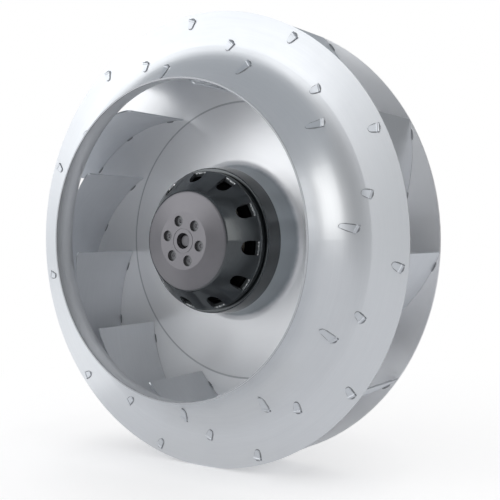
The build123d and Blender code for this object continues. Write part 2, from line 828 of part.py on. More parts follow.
def nodes():
    """Every separate piece by name."""
    pieces = {
        "inlet_shroud": inlet_shroud(),
        "back_plate": back_plate(),
        "rotor_housing": rotor_housing(),
        "shaft": shaft(),
        "rotor_core": rotor_core(),
        "rotor_cage": rotor_cage(),
        "stator_core": stator_core(),
        "main_winding": main_winding(),
        "auxiliary_winding": auxiliary_winding(),
        "front_insulator": front_insulator(),
        "rear_insulator": rear_insulator(),
        "thermal_cutout": thermal_cutout(),
        "motor_flange": motor_flange(),
        "preload_washer": preload_washer(),
        "shaft_circlip": shaft_circlip(),
        "bearing_cap": bearing_cap(),
        "gland_body": gland_body(),
        "gland_seal": gland_seal(),
        "gland_nut": gland_nut(),
    }
    first = blade()
    for index, copy in enumerate(all_round(first, blade_count)):
        pieces[f"blade_{index + 1:02d}"] = copy
    for end, rear in (("front", front_bearing_ahead), ("rear", rear_bearing_ahead)):
        pieces[f"{end}_bearing_outer_ring"] = outer_ring(rear)
        pieces[f"{end}_bearing_inner_ring"] = inner_ring(rear)
        pieces[f"{end}_bearing_balls"] = ball_set(rear)
        pieces[f"{end}_bearing_cage"] = ball_cage(rear)
        pieces[f"{end}_bearing_shields"] = shields(rear)
    return pieces


def main():
    """Write one file for each piece and print its volume."""
    os.makedirs("parts", exist_ok=True)
    for name, piece in nodes().items():
        solids = ShapeList(piece).solids() if isinstance(piece, list) else piece.solids()
        export_step(Compound(label=name, children=list(solids)), f"parts/{name}.step")
        print(name, len(solids), round(sum(solid.volume for solid in solids)))


if __name__ == "__main__":
    main()
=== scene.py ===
# %% [markdown]
# # Plug fan: a lesson in spun metal
#
# The object is a fan wheel for ventilation units. A spun aluminium shroud and a
# spun back plate hold eleven curved blades, and a black motor sits in the middle.
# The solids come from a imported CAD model. This script dresses them: it makes the
# finishes, adds the small pieces that CAD leaves out, and sets up the studio.
# All lengths are in metres. The fan turns about the Y axis, its inlet faces -Y,
# and Z points up.

# %% Load the frame
import json
from math import acos, atan2, cos, degrees, hypot, pi, radians, sin, sqrt, tan, tau

import bpy
import numpy as np
from mathutils import Matrix, Vector


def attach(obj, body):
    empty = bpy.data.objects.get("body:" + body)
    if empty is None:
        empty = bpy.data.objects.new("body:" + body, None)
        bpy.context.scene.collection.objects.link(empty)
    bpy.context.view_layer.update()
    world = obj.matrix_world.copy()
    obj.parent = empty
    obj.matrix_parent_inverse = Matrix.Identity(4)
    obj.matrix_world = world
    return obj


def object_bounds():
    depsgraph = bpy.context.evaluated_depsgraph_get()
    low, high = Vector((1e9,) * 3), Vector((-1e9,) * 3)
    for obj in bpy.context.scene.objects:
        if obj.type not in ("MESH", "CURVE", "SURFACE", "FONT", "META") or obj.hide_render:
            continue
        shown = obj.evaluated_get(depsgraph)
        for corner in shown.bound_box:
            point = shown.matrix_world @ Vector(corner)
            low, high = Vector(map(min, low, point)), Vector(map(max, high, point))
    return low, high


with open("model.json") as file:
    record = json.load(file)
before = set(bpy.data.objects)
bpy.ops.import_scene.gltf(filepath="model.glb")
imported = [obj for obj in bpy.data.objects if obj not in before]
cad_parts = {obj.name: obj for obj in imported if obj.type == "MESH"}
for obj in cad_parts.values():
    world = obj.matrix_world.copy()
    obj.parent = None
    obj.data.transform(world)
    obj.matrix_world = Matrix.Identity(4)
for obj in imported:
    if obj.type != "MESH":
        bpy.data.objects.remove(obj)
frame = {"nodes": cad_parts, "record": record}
nodes = frame["nodes"]
cad_low, cad_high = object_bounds()
print("nodes:", len(nodes), " CAD box:", [round(v, 4) for v in (*cad_low, *cad_high)])

# %% [markdown]
# ## Sizes that several steps share
#
# The script can't read the CAD source, so the few sizes that it needs are written
# here or at the step that uses them. "Ahead" is a distance along -Y from the motor
# flange's mounting face, and an angle runs clockwise from the top, as seen from
# the inlet.

# %% Shared sizes
mm = 0.001
floor_height = float(cad_low[2])
blade_count = 11
first_blade_angle = radians(-5.0)
print("floor at", round(floor_height, 4), " blades:", blade_count)

# %% [markdown]
# ## The camera
#
# The photograph was taken a little to the right of the fan's axis, with a lens of
# moderate length, almost level. The place and the turn were worked out from the
# outlines of eleven circles that share the fan's axis, so they are written as
# plain numbers: a point, and the directions of the picture's right and of the view.

# %% Camera
camera_data = bpy.data.cameras.new("photo_camera")
camera_data.sensor_width = 36.0
camera_data.lens = 61.47
camera_data.clip_start = 0.01
camera_data.clip_end = 100.0
camera = bpy.data.objects.new("photo_camera", camera_data)
bpy.context.scene.collection.objects.link(camera)
bpy.context.scene.camera = camera

camera_place = (0.5268, -0.7800, 0.0023)
picture_right = Vector((0.8198, 0.5726, -0.0099)).normalized()
view_direction = Vector((-0.5727, 0.8197, -0.0142)).normalized()
picture_up = picture_right.cross(view_direction).normalized()
picture_right = view_direction.cross(picture_up).normalized()
turn = Matrix((picture_right, picture_up, -view_direction)).transposed().to_4x4()
camera.matrix_world = Matrix.Translation(camera_place) @ turn
print("camera at", [round(v, 3) for v in camera.location], "lens", camera_data.lens)

# %% [markdown]
# ## Building materials from nodes
#
# Every finish is a small network of nodes. A few helpers keep the networks short:
# they make an empty material, add one node with its settings, and name the steps
# that come back in every network. An input may be a number or another node's
# output, so the helpers can be nested like ordinary sums.


# %% Node helpers
def new_finish(name):
    """Empty material with a Principled shader. Returns the material, its tree and the shader."""
    finish = bpy.data.materials.new(name)
    finish.use_nodes = True
    tree = finish.node_tree
    return finish, tree, tree.nodes["Principled BSDF"]


def add(tree, kind, inputs=None, **settings):
    """New node of a kind. Inputs are given by name or place, as a value or an output."""
    node = tree.nodes.new(kind)
    for key, value in settings.items():
        setattr(node, key, value)
    for key, value in (inputs or {}).items():
        if isinstance(value, bpy.types.NodeSocket):
            tree.links.new(value, node.inputs[key])
        else:
            node.inputs[key].default_value = value
    return node


def maths(tree, operation, first, second=0.0):
    """Result of a maths node on one or two numbers or outputs."""
    return add(tree, "ShaderNodeMath", {0: first, 1: second}, operation=operation).outputs[0]


def product(tree, first, *others):
    """Several numbers or outputs multiplied together."""
    for other in others:
        first = maths(tree, "MULTIPLY", first, other)
    return first


def spread(tree, value, low, high, to_low=0.0, to_high=1.0):
    """Value moved from one range to another, held inside the new range."""
    inputs = {0: value, 1: low, 2: high, 3: to_low, 4: to_high}
    return add(tree, "ShaderNodeMapRange", inputs).outputs[0]


def blend_colours(tree, factor, first, second):
    """Colour between two colours, by a factor from 0 to 1. A colour is three numbers or an output."""
    inputs = {0: factor}
    for number, colour in ((6, first), (7, second)):
        inputs[number] = colour if isinstance(colour, bpy.types.NodeSocket) else (*colour, 1.0)
    return add(tree, "ShaderNodeMix", inputs, data_type="RGBA").outputs[2]


print("node helpers ready")


# %% Pattern helpers
def object_place(tree):
    """Place on the object, in metres."""
    return add(tree, "ShaderNodeTexCoord").outputs["Object"]


def part_of(tree, place, number):
    """One of a place's three parts: 0 for x, 1 for y and 2 for z."""
    return add(tree, "ShaderNodeSeparateXYZ", {0: place}).outputs[number]


def noise(tree, place, scale, detail=2.0, roughness=0.5):
    """Cloudy noise from 0 to 1 at a place, in a given number of cells a metre."""
    inputs = {"Vector": place, "Scale": scale, "Detail": detail, "Roughness": roughness}
    return add(tree, "ShaderNodeTexNoise", inputs).outputs[0]


def even_out(tree, pattern, to_low=0.0, to_high=1.0):
    """A noise spread over a whole range, since nearly all of it lies between 0.3 and 0.7."""
    return spread(tree, pattern, 0.3, 0.7, to_low, to_high)


def dress(tree, tint, rough, height, relief, strength=1.0):
    """Gives a finish its colour, its roughness, and a bump whose full height is the relief in metres."""
    shader = tree.nodes["Principled BSDF"]
    bump = add(tree, "ShaderNodeBump", {"Strength": strength, "Distance": relief, "Height": height})
    for key, value in (("Base Color", tint), ("Roughness", rough), ("Normal", bump.outputs[0])):
        tree.links.new(value, shader.inputs[key])


print("pattern helpers ready")

# %% [markdown]
# ## Spun aluminium
#
# The shroud and the back plate are spun: a disc turns on a lathe while a roller
# presses it over a former. The roller leaves fine rings round the axis. They
# spread a reflection across the rings and not along them, which makes the soft
# fans of light on the real part. An image of rings would need the flat ring and
# the throat unwrapped. So the pattern reads the distance from the axis instead,
# and the shader's stretch is turned across the rings. A coordinate that grows
# both outwards and along the axis serves the flat ring and the throat alike.


# %% Rings round the axis
def ring_coordinates(tree):
    """Place on the object, distance from the axis, direction from the axis, and place on the rings.

    The first part of the place on the rings is radius plus y, which grows steadily
    along the whole profile of the shroud. The other two are the direction round the
    axis times 4 mm, so a pattern on it changes slowly round the ring and has no seam.
    """
    place = object_place(tree)
    parts = add(tree, "ShaderNodeSeparateXYZ", {0: place})
    flat = add(tree, "ShaderNodeCombineXYZ", {0: parts.outputs[0], 1: 0.0, 2: parts.outputs[2]}).outputs[0]
    radius = add(tree, "ShaderNodeVectorMath", {0: flat}, operation="LENGTH").outputs["Value"]
    heading = add(tree, "ShaderNodeVectorMath", {0: flat}, operation="NORMALIZE").outputs[0]
    across = maths(tree, "ADD", radius, parts.outputs[1])
    round_x = product(tree, part_of(tree, heading, 0), 4 * mm)
    round_z = product(tree, part_of(tree, heading, 2), 4 * mm)
    rings = add(tree, "ShaderNodeCombineXYZ", {0: across, 1: round_x, 2: round_z}).outputs[0]
    return place, radius, heading, rings


def tangent_round_axis(tree, heading):
    """Direction along the rings: the Y axis crossed with the direction from the axis."""
    along = add(tree, "ShaderNodeVectorMath", {0: (0.0, 1.0, 0.0), 1: heading}, operation="CROSS_PRODUCT")
    return add(tree, "ShaderNodeVectorTransform", {0: along.outputs[0]}, vector_type="VECTOR",
               convert_from="OBJECT", convert_to="WORLD").outputs[0]


def spun_metal(name, pale, dark, rough, stretch, relief, metallic=0.8):
    """Metal with rings round the Y axis, a stretched reflection and faint clouds.

    The marks are 0.6 of fine rings and 0.4 of broad ones. The tone is 0.55 of the
    marks and 0.45 of the clouds.
    """
    finish, tree, shader = new_finish(name)
    place, _, heading, rings = ring_coordinates(tree)
    fine = noise(tree, rings, 1500.0, 3.0, 0.7)
    broad = noise(tree, rings, 260.0, 2.0, 0.6)
    clouds = noise(tree, place, 14.0, 4.0, 0.6)
    marks = maths(tree, "ADD", product(tree, fine, 0.6), product(tree, broad, 0.4))
    tone = maths(tree, "ADD", product(tree, marks, 0.55), product(tree, clouds, 0.45))
    tint = blend_colours(tree, even_out(tree, tone), dark, pale)
    dress(tree, tint, even_out(tree, tone, rough[1], rough[0]), marks, relief)
    tree.links.new(tangent_round_axis(tree, heading), shader.inputs["Tangent"])
    shader.inputs["Metallic"].default_value = metallic
    shader.inputs["Anisotropic"].default_value = stretch
    shader.inputs["Anisotropic Rotation"].default_value = 0.25
    return finish


shroud_metal = spun_metal("spun_shroud", (0.81, 0.825, 0.845), (0.745, 0.76, 0.785), rough=(0.29, 0.38),
                          stretch=0.3, relief=0.015 * mm)
plate_metal = spun_metal("spun_plate", (0.95, 0.952, 0.962), (0.92, 0.923, 0.937), rough=(0.28, 0.36),
                         stretch=0.8, relief=0.01 * mm, metallic=0.66)
print("spun finishes:", shroud_metal.name, plate_metal.name)

# %% [markdown]
# ## Marks of the press, and painted shade
#
# Three places of the spun parts look different from the rest. The back plate has a sharp fold, and a thin
# dark ring along it is painted shade. Its middle is drawn into a collar round the motor, where the sheet is
# stretched and a little rougher, and there its colour is darkened as painted shade next to the black motor.
# The shroud's neck is trimmed, so its lip shows a dull cut edge. Separate pieces with their own finish would
# leave seams. Each mark is a ring or a step along the axis, so it is added to the finish that is already
# there.


# %% Marks added to a finish
def add_mark(finish, factor, colour, rougher):
    """Blends a colour over a finish by a factor, and adds to its roughness."""
    tree = finish.node_tree
    shader = tree.nodes["Principled BSDF"]
    tint, rough = [shader.inputs[key].links[0].from_socket for key in ("Base Color", "Roughness")]
    tree.links.new(blend_colours(tree, factor, tint, colour), shader.inputs["Base Color"])
    tree.links.new(maths(tree, "ADD", rough, rougher), shader.inputs["Roughness"])


def crease_painted_shade(finish, radius_of_line, width, colour):
    """Painted shade: a dark ring along a sharp fold that the roller pressed, 0.6 of the colour, fading out
    over the width.
    """
    tree = finish.node_tree
    radius = ring_coordinates(tree)[1]
    away = maths(tree, "ABSOLUTE", maths(tree, "SUBTRACT", radius, radius_of_line))
    add_mark(finish, spread(tree, away, 0.4 * width, width, 0.6, 0.0), colour, 0.0)


def cut_edge(finish, lip_ahead, colour):
    """Dull colour past a distance ahead, over a step of 0.4 mm, where the sheet was trimmed."""
    tree = finish.node_tree
    y = part_of(tree, object_place(tree), 1)
    past = spread(tree, y, 0.4 * mm - lip_ahead, -lip_ahead)
    add_mark(finish, past, colour, product(tree, past, 0.25))


def collar_painted_shade(finish, collar_radius, fade, colour):
    """Painted shade: darkens the sheet inside a radius with an uneven edge, and roughens it out to 1.3 radii.
    """
    tree = finish.node_tree
    place, radius = ring_coordinates(tree)[:2]
    edge = maths(tree, "ADD", radius, product(tree, noise(tree, place, 160.0), 1.5 * mm))
    # Factor of the painted shade near the motor.
    near = spread(tree, edge, collar_radius, collar_radius + fade, 0.8, 0.0)
    add_mark(finish, near, colour, spread(tree, radius, collar_radius, 1.3 * collar_radius, 0.03, 0.0))


# Painted shade round the collar, next to the black motor.
collar_painted_shade(plate_metal, 78.3 * mm, 2.5 * mm, (0.42, 0.47, 0.50))
# Painted shade along the plate's fold.
crease_painted_shade(plate_metal, 146.0 * mm, 1.3 * mm, (0.30, 0.31, 0.33))
cut_edge(shroud_metal, 160.6 * mm, (0.52, 0.53, 0.55))
print("marks added to", plate_metal.name, "and", shroud_metal.name)

# %% [markdown]
# ## Blade sheet
#
# The blades are cut from rolled sheet, so their grain is straight and runs along
# the chord, square to the fan's axis. The same noise does it as on the spun parts,
# read through a Mapping node: fine along Y and long in the other two directions.
# The sheet is a little duller than the spun parts.


# %% Rolled sheet
def rolled_sheet(name, pale, dark, rough):
    """Metal with a straight grain square to the Y axis. The tone is half grain and half clouds."""
    finish, tree, shader = new_finish(name)
    place = object_place(tree)
    along_grain = add(tree, "ShaderNodeMapping", {"Vector": place, "Scale": (14.0, 900.0, 14.0)}).outputs[0]
    grain = noise(tree, along_grain, 1.0, 4.0, 0.65)
    clouds = noise(tree, place, 22.0, 3.0, 0.55)
    tone = maths(tree, "ADD", product(tree, grain, 0.5), product(tree, clouds, 0.5))
    tint = blend_colours(tree, even_out(tree, tone), dark, pale)
    dress(tree, tint, even_out(tree, tone, rough[1], rough[0]), grain, 0.02 * mm)
    shader.inputs["Metallic"].default_value = 0.88
    return finish


blade_metal = rolled_sheet("rolled_blade_sheet", (0.77, 0.79, 0.82), (0.72, 0.74, 0.77), rough=(0.34, 0.44))
print("blade finish:", blade_metal.name)

# %% [markdown]
# ## Black coat of the motor
#
# The rotor is a cast aluminium can with a thin black lacquer that is glossy enough to show the lamps. The
# front face is painted a warm grey and made a dark mirror: its grey is a painted highlight, where the flat
# face looks at the lamp. The six holes get painted light: their floors are painted a dark grey and their
# cores a light grey. The slots of the cone are rough and look like black holes, and at their far ends the
# edges get pale patches, half metal and smoother. The can is one casting, so its zones can't be separate
# pieces. The finish finds them from the rotor's own outline instead: by the radius, by the distance ahead,
# and by the depth below the cone's line.

# %% Rotor outline
face_edge_radius, face_edge_ahead = 50.1 * mm, 132.2 * mm
cone_foot_radius, cone_foot_ahead = 69.0 * mm, 107.8 * mm
cone_width, cone_height = cone_foot_radius - face_edge_radius, face_edge_ahead - cone_foot_ahead
cone_length = hypot(cone_width, cone_height)
out_r, out_s = cone_height / cone_length, cone_width / cone_length
print("cone leans", round(degrees(atan2(out_s, out_r)), 1), "degrees from the side")


# %% Zones of the rotor
def rotor_zones(tree, place, radius):
    """Factors from 0 to 1 for the grey face, the slots, the holes, their cores and the pale patches at the
    slots' far ends.

    The depth below the cone is the distance from the cone's line, positive inwards:
    out_r * (foot radius - radius) + out_s * (foot ahead - ahead). A place is in a zone
    where every step of it is past: a step is 0 at its outside and 1 at its inside, in mm.
    """
    y = part_of(tree, place, 1)
    inwards = product(tree, maths(tree, "SUBTRACT", cone_foot_radius, radius), out_r)
    behind = product(tree, maths(tree, "ADD", cone_foot_ahead, y), out_s)
    depth = maths(tree, "ADD", inwards, behind)

    def step(value, outside, inside):
        return spread(tree, value, outside * mm, inside * mm)

    face = product(tree, step(y, -131.8, -132.6), step(radius, 48.6, 47.7))
    cone = product(tree, step(radius, 68.8, 68.5), step(y, -103.5, -104.5))
    slot = maths(tree, "SUBTRACT", product(tree, step(depth, 0.6, 1.6), cone), face)
    flat_ring = product(tree, step(radius, 10.5, 11.0), step(radius, 28.1, 27.8))
    hole = product(tree, flat_ring, step(y, -138.4, -137.4))
    core = product(tree, flat_ring, step(y, -136.0, -135.7))
    edge = product(tree, step(depth, 0.1, 0.3), step(depth, 1.7, 1.2))
    far_end = product(tree, step(y, -113.5, -112.0), cone)
    patches = spread(tree, noise(tree, place, 620.0, 2.0, 0.6), 0.52, 0.59)
    return face, slot, hole, core, product(tree, edge, far_end, patches)


# %% Black coat
def coated_casting(name):
    """Glossy black coat with a dark mirror and a painted highlight on the face, rough slots, painted light in
    the holes, and pale patches at the slots' ends.
    """
    finish, tree, shader = new_finish(name)
    place, radius = ring_coordinates(tree)[:2]
    face, slot, hole, core, slot_end_patch = rotor_zones(tree, place, radius)
    skin = noise(tree, place, 1400.0, 3.0, 0.6)
    clouds = noise(tree, place, 45.0, 4.0, 0.6)

    black = blend_colours(tree, clouds, (0.0035, 0.0045, 0.0055), (0.007, 0.009, 0.011))
    # Painted highlight: the face's warm grey stands for the lamp's reflection on the flat face.
    grey = blend_colours(tree, clouds, (0.175, 0.168, 0.178), (0.220, 0.212, 0.224))
    # Painted light in the six holes: dark grey floors and light grey cores.
    hole_painted_light = blend_colours(tree, core, (0.08, 0.078, 0.082), (0.50, 0.49, 0.51))
    coated = blend_colours(tree, hole, blend_colours(tree, face, black, grey), hole_painted_light)
    # Pale, half-metal patches at the far ends of the slots' edges.
    tint = blend_colours(tree, slot_end_patch, coated, (0.66, 0.67, 0.68))

    mirror = product(tree, face, maths(tree, "SUBTRACT", 0.92, product(tree, hole, 0.62)))
    metal = maths(tree, "MAXIMUM", mirror, product(tree, slot_end_patch, 0.5))
    lacquer = maths(tree, "ADD", even_out(tree, clouds, 0.13, 0.18), product(tree, face, 0.2))
    coat_rough = spread(tree, slot, 0.0, 1.0, lacquer, 0.95)
    rough = product(tree, coat_rough, maths(tree, "SUBTRACT", 1.0, product(tree, slot_end_patch, 0.5)))

    dress(tree, tint, rough, skin, 0.03 * mm, strength=0.5)
    tree.links.new(metal, shader.inputs["Metallic"])
    shader.inputs["Specular IOR Level"].default_value = 1.0
    shader.inputs["IOR"].default_value = 1.64
    shader.inputs["Specular Tint"].default_value = (0.93, 0.98, 1.0, 1.0)
    return finish


rotor_coat = coated_casting("gloss_black_coat")
print("rotor finish:", rotor_coat.name)

# %% [markdown]
# ## Bare castings
#
# The flange and the bearing cap on the back are die-cast aluminium, as cast. The skin of a casting is grainy
# and uneven in tone, so a fine noise makes the bump and a broad one the colour and the gloss. Darker mixes of
# the same network serve the inside of the can, which is seen through the slots and painted near black as
# painted shade, and the shaft's end.


# %% Castings
def cast_metal(name, pale, dark):
    """Raw casting: grainy skin, uneven tone, low gloss."""
    finish, tree, shader = new_finish(name)
    place = object_place(tree)
    grain = noise(tree, place, 900.0, 4.0, 0.65)
    clouds = noise(tree, place, 60.0, 4.0, 0.6)
    tint = blend_colours(tree, even_out(tree, clouds), dark, pale)
    dress(tree, tint, even_out(tree, clouds, 0.62, 0.48), grain, 0.1 * mm, strength=0.7)
    shader.inputs["Metallic"].default_value = 1.0
    return finish


flange_metal = cast_metal("die_cast_aluminium", (0.60, 0.61, 0.63), (0.50, 0.51, 0.53))
# Painted shade: the inside of the can is made near black, as it lies deep behind the slots.
can_inside_painted_shade = cast_metal("painted_shade_casting", (0.030, 0.031, 0.034), (0.014, 0.015, 0.017))
shaft_steel = cast_metal("dark_turned_steel", (0.24, 0.235, 0.245), (0.17, 0.165, 0.175))
print("castings:", flange_metal.name, can_inside_painted_shade.name, shaft_steel.name)

# %% [markdown]
# ## Bearings and laminations
#
# The bearings are ground steel, and grinding marks run round the axis as spinning
# marks do, so the spun metal's network serves them with a finer relief. The iron
# of the motor is a stack of thin sheets. Hundreds of sheets as real pieces would
# cost much and show little, so a wave along the axis draws the joints between them.


# %% Steel and iron
def laminations(name, pale, dark, pitch):
    """Stack of thin sheets along Y. A joint is where y / pitch lies near a whole number."""
    finish, tree, shader = new_finish(name)
    place = object_place(tree)
    wave = maths(tree, "FRACT", maths(tree, "DIVIDE", part_of(tree, place, 1), pitch))
    joint = spread(tree, maths(tree, "ABSOLUTE", maths(tree, "SUBTRACT", wave, 0.5)), 0.42, 0.5)
    clouds = noise(tree, place, 80.0, 3.0, 0.6)
    tint = blend_colours(tree, joint, blend_colours(tree, clouds, dark, pale), (0.05, 0.05, 0.055))
    dress(tree, tint, even_out(tree, clouds, 0.35, 0.5), maths(tree, "SUBTRACT", 1.0, joint), 0.08 * mm)
    shader.inputs["Metallic"].default_value = 0.9
    return finish


steel = spun_metal("ground_steel", (0.62, 0.62, 0.63), (0.54, 0.54, 0.55), rough=(0.16, 0.24),
                   stretch=0.3, relief=0.006 * mm)
stack_metal = laminations("stacked_laminations", (0.33, 0.34, 0.36), (0.24, 0.25, 0.27), pitch=0.5 * mm)
print("steel and iron:", steel.name, stack_metal.name)

# %% [markdown]
# ## Windings
#
# The windings are varnished copper wire, seen only through the slots, and their colour is painted a
# near-black brown as painted shade. The CAD piece is the bundle's outer form, so the turns of wire come from
# the finish: a row of round crowns, 0.6 mm apart, along the rings' coordinate.


# %% Copper wire
def wound_wire(name, pale, dark, pitch):
    """Varnished wire: the height is the sine of half a turn over each pitch, which makes round crowns."""
    finish, tree, shader = new_finish(name)
    place, _, _, rings = ring_coordinates(tree)
    turns = maths(tree, "FRACT", maths(tree, "DIVIDE", part_of(tree, rings, 0), pitch))
    crown = maths(tree, "SINE", product(tree, turns, pi))
    clouds = noise(tree, place, 120.0, 3.0, 0.6)
    dress(tree, blend_colours(tree, clouds, dark, pale), even_out(tree, clouds, 0.25, 0.4), crown, 0.2 * mm)
    shader.inputs["Metallic"].default_value = 0.4
    return finish


# Near-black brown in place of copper's colour: painted shade.
copper = wound_wire("copper_wire_painted_shade", (0.085, 0.040, 0.022), (0.045, 0.022, 0.013), pitch=0.6 * mm)
print("wire finish:", copper.name)

# %% [markdown]
# ## Plastics and rubber
#
# The insulators are pale nylon, the cable gland is black nylon, and its seal is
# rubber. All three are moulded, so one network serves them: a fine skin from the
# mould, and a slight change of tone. They differ in colour, gloss and grain.


# %% Moulded finishes
def moulded(name, pale, dark, rough, grain_scale, relief):
    """Moulded plastic or rubber: fine skin and a slight change of tone."""
    finish, tree = new_finish(name)[:2]
    place = object_place(tree)
    skin = noise(tree, place, grain_scale, 3.0, 0.6)
    clouds = noise(tree, place, 70.0, 3.0, 0.5)
    tint = blend_colours(tree, clouds, dark, pale)
    dress(tree, tint, even_out(tree, clouds, *rough), skin, relief, strength=0.5)
    return finish


nylon = moulded("natural_nylon", (0.78, 0.75, 0.66), (0.70, 0.67, 0.58), (0.42, 0.55), 1500.0, 0.03 * mm)
gland_plastic = moulded("black_gland_plastic", (0.035, 0.036, 0.038), (0.022, 0.023, 0.025), (0.38, 0.5),
                        1800.0, 0.03 * mm)
rubber = moulded("black_rubber", (0.030, 0.030, 0.031), (0.018, 0.018, 0.019), (0.6, 0.75), 1100.0, 0.05 * mm)
print("moulded finishes:", nylon.name, gland_plastic.name, rubber.name)

# %% [markdown]
# ## Handing the finishes to the CAD pieces
#
# A CAD piece keeps its mesh and only changes its material slots. A list by the
# record's own slot names covers nearly all of them. A short list by node covers
# the pieces that look different from the rest of their slot.

# %% Assign finishes
by_slot = {
    "spun_aluminium": shroud_metal, "black_coating": rotor_coat, "bearing_steel": steel,
    "electrical_steel": stack_metal, "cast_aluminium": flange_metal, "copper_wire": copper,
    "insulating_plastic": nylon, "gland_plastic": gland_plastic, "seal_rubber": rubber,
}
by_node = {"back_plate": plate_metal, "shaft": shaft_steel}
# The rotor's core and cage get the near-black painted shade.
by_node.update({"rotor_core": can_inside_painted_shade, "rotor_cage": can_inside_painted_shade})
by_node.update({name: blade_metal for name in nodes if name.startswith("blade_")})
for part in frame["record"]["subparts"]:
    finish = by_node.get(part["node"], by_slot[part["material_slot"]])
    for slot in nodes[part["node"]].material_slots:
        slot.material = finish

# %% [markdown]
# ## Painted shade round the folded tabs
#
# Each blade passes through slots in the shroud and the back plate with narrow tabs, and a press folds them
# flat. The tabs themselves are in the CAD model. What it lacks is the thin shade in the gap round each tongue
# and slot, which shows it as a dark outline. A line drawn in the finish would need the tab's place in the
# shader, so a thin dark bead of real mesh is simpler, and its dark grey is painted shade. Its plan is a
# rounded polygon in the tab's own two directions, across and along the blade, and its height follows the face
# that it lies on.

# %% Shroud profile
shroud_radius, shroud_sheet, shroud_slope = 225.0 * mm, 1.5 * mm, radians(7.0)
neck_radius, throat_radius = 153.0 * mm, 42.0 * mm
plate_front_ahead, plate_rear_ahead, outlet_width = 46.0 * mm, 44.0 * mm, 64.5 * mm
shroud_rim_ahead = plate_front_ahead + outlet_width + shroud_sheet
throat_centre_radius = neck_radius + shroud_sheet + throat_radius
arc_start_radius = throat_centre_radius - throat_radius * sin(shroud_slope)
cone_rise = (shroud_radius - arc_start_radius) * tan(shroud_slope)
throat_centre_ahead = shroud_rim_ahead + cone_rise + throat_radius * cos(shroud_slope)
print("throat's centre:", round(throat_centre_radius, 4), "m out,", round(throat_centre_ahead, 4), "m ahead")


# %% Faces that carry the tabs
def shroud_face(radius):
    """Distance ahead of the shroud's outer face: a slight cone, then a circular arc up the throat.

    Cone: rim ahead + (rim radius - radius) * tangent of the slope.
    Arc: centre ahead - root of (throat radius squared - (centre radius - radius) squared).
    """
    inwards = throat_centre_radius - radius
    cone = shroud_rim_ahead + (shroud_radius - radius) * tan(shroud_slope)
    arc = throat_centre_ahead - np.sqrt(np.maximum(throat_radius**2 - inwards**2, 0.0))
    return np.where(inwards < throat_radius * sin(shroud_slope), cone, arc)


def plate_face(radius):
    """Distance ahead of the back plate's front, which is flat where the blades stand."""
    return np.full_like(radius, plate_front_ahead)


def plate_rear(radius):
    """Distance ahead of the back plate's rear face."""
    return np.full_like(radius, plate_rear_ahead)


print("shroud face at 219 and 179 mm:", np.round(shroud_face(np.array([0.219, 0.179])), 4))


# %% Rounded outline
def rounded_loop(corners, rounds, count):
    """Closed plan line with its corners cut round.

    Each round replaces a corner by two points, at a quarter and three quarters of
    its sides. The result is spaced evenly by its length. Returns the points and the
    directions square to the line, outwards.
    """
    points = np.array(corners, float)
    for _ in range(rounds):
        after = np.roll(points, -1, axis=0)
        points = np.stack([0.75 * points + 0.25 * after, 0.25 * points + 0.75 * after], axis=1).reshape(-1, 2)
    closed = np.vstack([points, points[:1]])
    run = np.concatenate([[0.0], np.cumsum(np.hypot(*np.diff(closed, axis=0).T))])
    where = np.linspace(0.0, run[-1], count, endpoint=False)
    even = np.stack([np.interp(where, run, closed[:, 0]), np.interp(where, run, closed[:, 1])], axis=1)
    along = np.roll(even, -1, axis=0) - np.roll(even, 1, axis=0)
    along /= np.linalg.norm(along, axis=1, keepdims=True)
    outwards = np.stack([along[:, 1], -along[:, 0]], axis=1)
    turning = np.sum(even[:, 0] * np.roll(even[:, 1], -1) - even[:, 1] * np.roll(even[:, 0], -1))
    return even, outwards * np.sign(turning)


print("loop of a tongue:", rounded_loop([(0, -1), (3, -1), (3, 1), (0, 1)], 2, 24)[0].shape)


# %% Points of a bead
def polar(radius, angle, ahead):
    """Points at a radius, an angle in radians clockwise from the top, and a distance ahead."""
    radius, angle, ahead = np.broadcast_arrays(radius, angle, ahead)
    return np.stack([radius * np.sin(angle), -ahead, radius * np.cos(angle)], axis=-1)


def bead_grid(tab, section, face, side, count):
    """Points of one tab's bead on every blade: blades by steps of the loop by points of the section.

    A tab holds its place in the plan, the direction across the blade, and the corners
    of its outline. A point is place + u * across + v * along, turned about the axis
    for each blade, at the face's height plus the section's lift.
    """
    place, across, corners = tab
    line, outwards = rounded_loop(np.array(corners) * mm, 2, count)
    plan = line[:, None, :] + outwards[:, None, :] * section[None, :, :1]
    along = np.array([-across[1], across[0]])
    flat = place + plan[..., :1] * across + plan[..., 1:] * along
    radius = np.hypot(flat[..., 0], flat[..., 1])
    turns = first_blade_angle + np.arange(blade_count) * tau / blade_count
    angle = np.arctan2(flat[..., 0], flat[..., 1])[None] + turns[:, None, None]
    return polar(radius[None], angle, (face(radius) + side * section[:, 1])[None])


# %% Mesh of the beads
def closed_rings(grid, side):
    """Quads of many closed rings: each point, its neighbours round the section and along the loop."""
    index = np.arange(grid[..., 0].size).reshape(grid.shape[:3])
    next_step, next_wide = np.roll(index, -1, axis=1), np.roll(index, -1, axis=2)
    quads = np.stack([index, next_wide, np.roll(next_wide, -1, axis=1), next_step], axis=-1).reshape(-1, 4)
    return quads if side > 0 else quads[:, ::-1]


def beads(name, tabs, section, face, finish, side=1.0, count=32):
    """One mesh with a bead round every tab of every blade."""
    section = np.array(section) * mm
    grid = np.concatenate([bead_grid(tab, section, face, side, count) for tab in tabs])
    quads = closed_rings(grid, side)
    mesh = bpy.data.meshes.new(name)
    mesh.from_pydata(grid.reshape(-1, 3).tolist(), [], quads.tolist())
    mesh.shade_smooth()
    mesh.materials.append(finish)
    piece = bpy.data.objects.new(name, mesh)
    bpy.context.scene.collection.objects.link(piece)
    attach(piece, "impeller")
    print(name, "beads:", len(grid), "faces:", len(quads))
